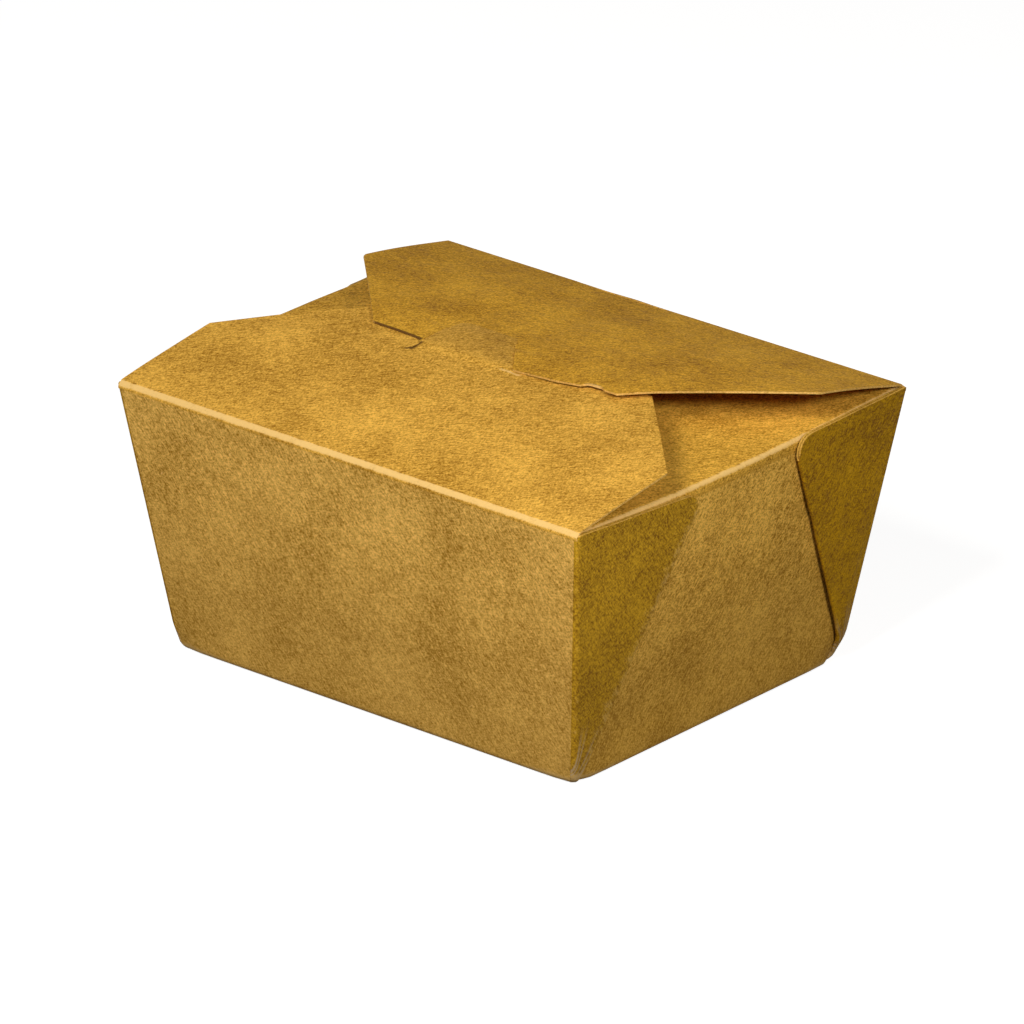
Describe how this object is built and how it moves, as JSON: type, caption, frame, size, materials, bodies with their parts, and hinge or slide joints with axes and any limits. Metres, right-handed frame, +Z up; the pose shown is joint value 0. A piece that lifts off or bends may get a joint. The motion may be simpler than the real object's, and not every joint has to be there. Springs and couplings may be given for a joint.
{
  "type": "takeaway box",
  "caption": "Tapered fold-top takeaway carton of brown kraft board with folded corner webs and two interlocking lid flaps that open together.",
  "frame": {"origin": "middle of the underside, on the surface that the carton stands on", "axes": "+Z up, X along the longer rim, the front wall faces -Y"},
  "size_m": [0.1314, 0.1128, 0.0732],
  "materials": {
    "kraft_walls": "matte",
    "kraft_lid": "matte",
    "kraft_lid_back": "matte"
  },
  "bodies": {
    "box": {"box_body": "kraft_walls"},
    "front_lid": {"front_flap": "kraft_lid"},
    "back_lid": {"back_flap": "kraft_lid_back"}
  },
  "joints": [
    {"name": "front_fold", "type": "hinge", "parent": "box", "child": "front_lid", "pos_m": [0, -0.05568, 0.0633], "axis": [1, 0, 0], "range_deg": [0, 115]},
    {"name": "back_fold", "type": "hinge", "parent": "box", "child": "back_lid", "pos_m": [0, 0.05568, 0.0633], "axis": [-1, 0, 0], "range_deg": [0, 115]}
  ],
  "couplings": [
    {"joint": "back_fold", "follows": "front_fold", "ratio": 1}
  ]
}
